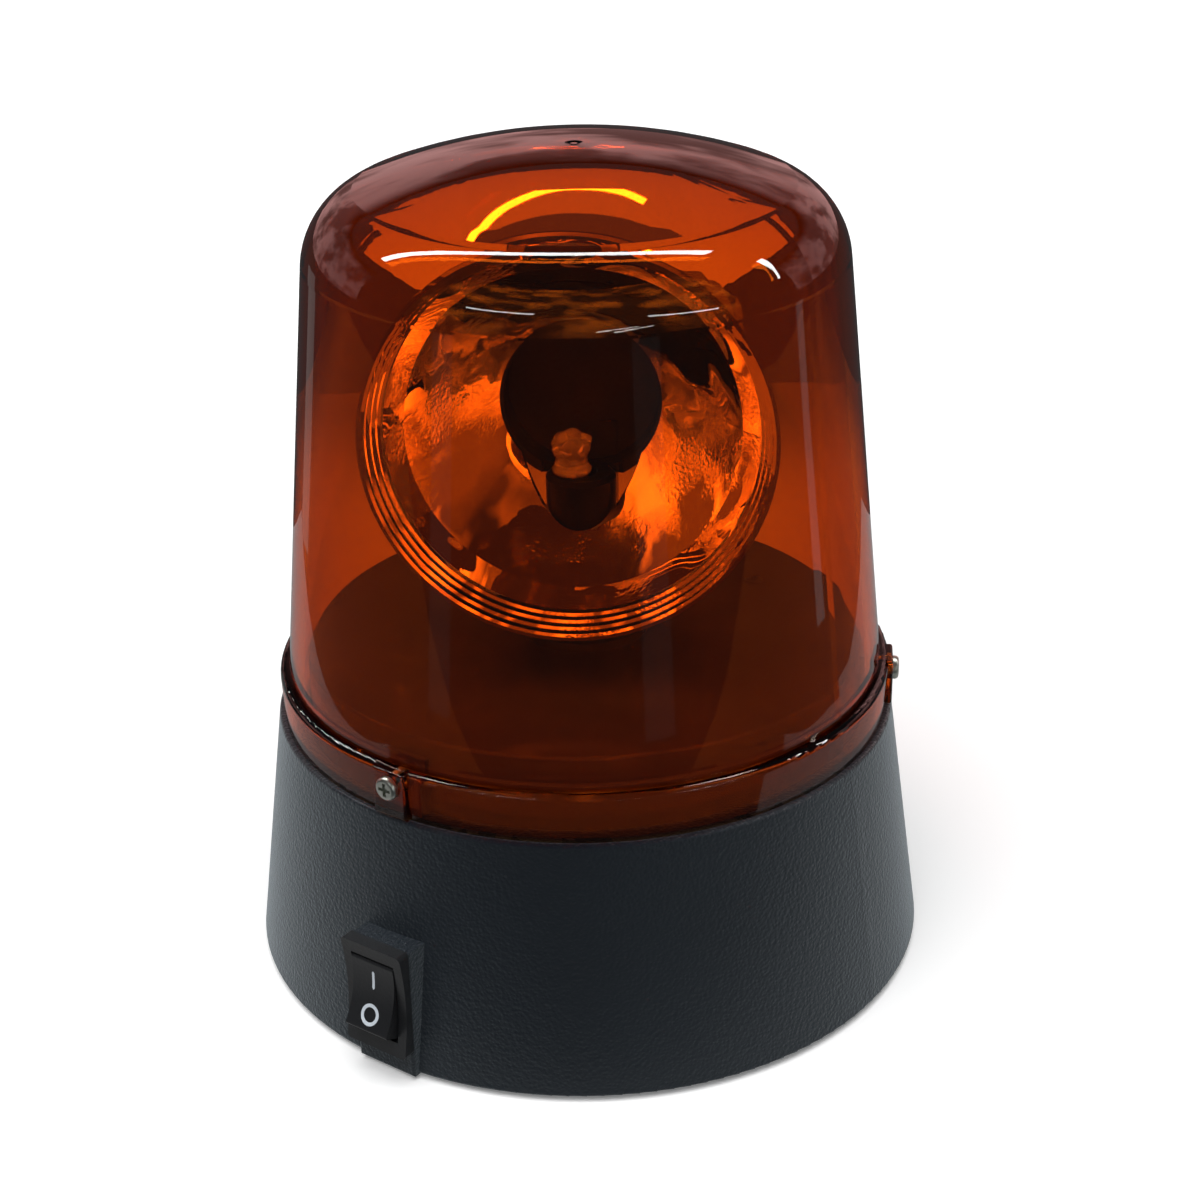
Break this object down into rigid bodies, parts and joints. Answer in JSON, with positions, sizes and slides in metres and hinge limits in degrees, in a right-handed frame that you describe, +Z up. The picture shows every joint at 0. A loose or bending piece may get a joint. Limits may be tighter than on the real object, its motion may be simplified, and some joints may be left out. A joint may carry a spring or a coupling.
{
  "type": "rotating warning beacon",
  "caption": "Small battery-powered rotating warning beacon: black conical base with a rocker switch, amber lens dome, and a motor-driven plated reflector turning round a lamp.",
  "frame": {"origin": "centre of the base on the surface that the rubber feet stand on", "axes": "+Z up through the lens; -Y is the front, which the reflector faces at rest; the rocker switch faces 36 degrees to the left of the front"},
  "size_m": [0.0998, 0.0998, 0.1191],
  "materials": {
    "base_black": "fine leather grain, spark-eroded",
    "deck_black": "smooth, slightly glossy",
    "lens_amber": "clear amber, polished",
    "mirror_plate": "vacuum-plated plastic mirror",
    "switch_black": "satin",
    "screw_steel": "zinc plated",
    "axle_steel": "ground",
    "can_steel": "drawn, plated",
    "contact_steel": "nickel plated",
    "gear_white": "acetal",
    "pinion_brass": "cut brass",
    "led_clear": "clear epoxy",
    "rubber_black": "matte",
    "cell_wrap": "printed film, plain",
    "magnet_grey": "sintered ferrite",
    "winding_copper": "enamelled wire on a steel core",
    "washer_nylon": "nylon",
    "resistor_beige": "lacquered",
    "wire_red": "soft vinyl",
    "wire_dark": "soft vinyl"
  },
  "bodies": {
    "body": {"base_housing": "base_black", "bottom_cover": "base_black", "rubber_feet": "rubber_black", "battery_cells": "cell_wrap", "battery_plates": "contact_steel", "battery_springs": "contact_steel", "cover_screws": "screw_steel", "switch_frame": "switch_black", "switch_terminals": "contact_steel", "lens_dome": "lens_amber", "lens_screws": "screw_steel", "top_deck": "deck_black", "deck_screws": "screw_steel", "gear_plate": "deck_black", "gear_plate_screws": "screw_steel", "led_post": "deck_black", "thrust_washer": "washer_nylon", "idler_axle": "axle_steel", "motor_can": "can_steel", "motor_end_cap": "gear_white", "motor_magnets": "magnet_grey", "motor_terminals": "contact_steel", "motor_strap": "screw_steel", "strap_screws": "screw_steel", "led_resistor": "resistor_beige", "wire_lamp_to_switch": "wire_red", "wire_cells_to_switch": "wire_red", "wire_switch_to_motor": "wire_red", "wire_cells_to_motor": "wire_dark", "wire_lamp_to_motor": "wire_dark", "led": "led_clear", "led_leads": "contact_steel"},
    "reflector_rotor": {"neck_gear": "deck_black", "reflector_holder": "deck_black", "reflector_dish": "mirror_plate"},
    "idler": {"idler_gear": "gear_white"},
    "motor_rotor": {"motor_pinion": "pinion_brass", "motor_shaft": "axle_steel", "motor_armature": "winding_copper"},
    "rocker": {"switch_rocker": "switch_black"},
    "door": {"battery_door": "base_black"}
  },
  "joints": [
    {"name": "reflector_spin", "type": "hinge", "parent": "body", "child": "reflector_rotor", "pos_m": [0, 0, 0.055], "axis": [0, 0, 1], "continuous": true},
    {"name": "idler_spin", "type": "hinge", "parent": "body", "child": "idler", "pos_m": [0.01058, 0.01456, 0.041], "axis": [0, 0, 1], "continuous": true},
    {"name": "motor_spin", "type": "hinge", "parent": "body", "child": "motor_rotor", "pos_m": [0.01852, 0.02548, 0.039], "axis": [0, 0, 1], "continuous": true},
    {"name": "rocker_tip", "type": "hinge", "parent": "body", "child": "rocker", "pos_m": [-0.02831, -0.04136, 0.0132], "axis": [0.809, -0.5878, 0], "range_deg": [0, 25]},
    {"name": "battery_door_swing", "type": "hinge", "parent": "body", "child": "door", "pos_m": [-0.02281, 0.01658, 0.0008], "axis": [0.5878, 0.809, 0], "range_deg": [0, 95]}
  ],
  "couplings": [
    {"joint": "idler_spin", "follows": "reflector_spin", "ratio": -5},
    {"joint": "motor_spin", "follows": "reflector_spin", "ratio": 22}
  ]
}
